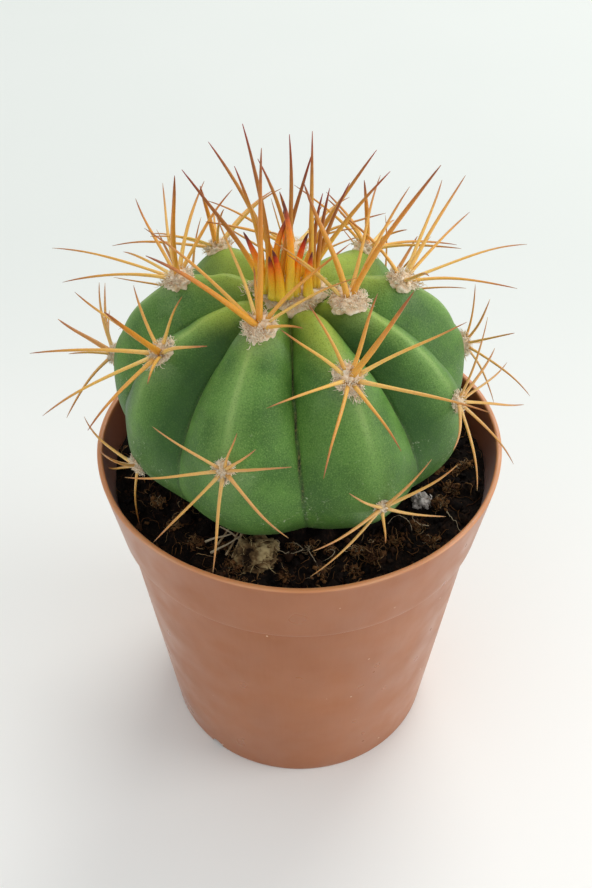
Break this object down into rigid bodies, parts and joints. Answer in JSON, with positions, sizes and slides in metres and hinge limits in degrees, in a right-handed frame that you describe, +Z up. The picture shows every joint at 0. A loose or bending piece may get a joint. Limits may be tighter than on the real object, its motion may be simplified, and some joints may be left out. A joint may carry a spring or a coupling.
{
  "type": "potted round cactus",
  "caption": "Round ribbed cactus with clusters of straw-coloured spines, growing in dark soil in a small terracotta-coloured plastic pot.",
  "frame": {"origin": "centre of the pot's underside, on the surface that it stands on", "axes": "+Z up along the pot's axis, front of the plant towards -Y, +X to the right seen from the front"},
  "size_m": [0.0623, 0.0582, 0.0975],
  "materials": {
    "pot_plastic": "matte injection-moulded terracotta colour",
    "dark_soil": "loose dark peat soil",
    "pale_peat": "pale fibrous peat",
    "perlite": "rough white mineral grain",
    "green_skin": "waxy green plant skin",
    "straw_spines": "smooth straw-coloured spines with darker tips on cream wool",
    "young_spines": "smooth orange and brown young spines on cream wool"
  },
  "bodies": {
    "root": {"pot": "pot_plastic", "soil": "dark_soil", "stem": "green_skin", "peat_lump": "pale_peat", "perlite_grain": "perlite", "crown_tuft": "young_spines", "areole_1_upper": "straw_spines", "areole_1_lower": "straw_spines", "areole_2_upper": "straw_spines", "areole_2_lower": "straw_spines", "areole_3_upper": "straw_spines", "areole_3_lower": "straw_spines", "areole_4_upper": "straw_spines", "areole_4_lower": "straw_spines", "areole_5_upper": "straw_spines", "areole_5_lower": "straw_spines", "areole_6_upper": "straw_spines", "areole_6_lower": "straw_spines", "areole_7_upper": "straw_spines", "areole_7_lower": "straw_spines", "areole_8_upper": "straw_spines", "areole_8_lower": "straw_spines", "areole_9_upper": "straw_spines", "areole_9_lower": "straw_spines"}
  },
  "joints": []
}
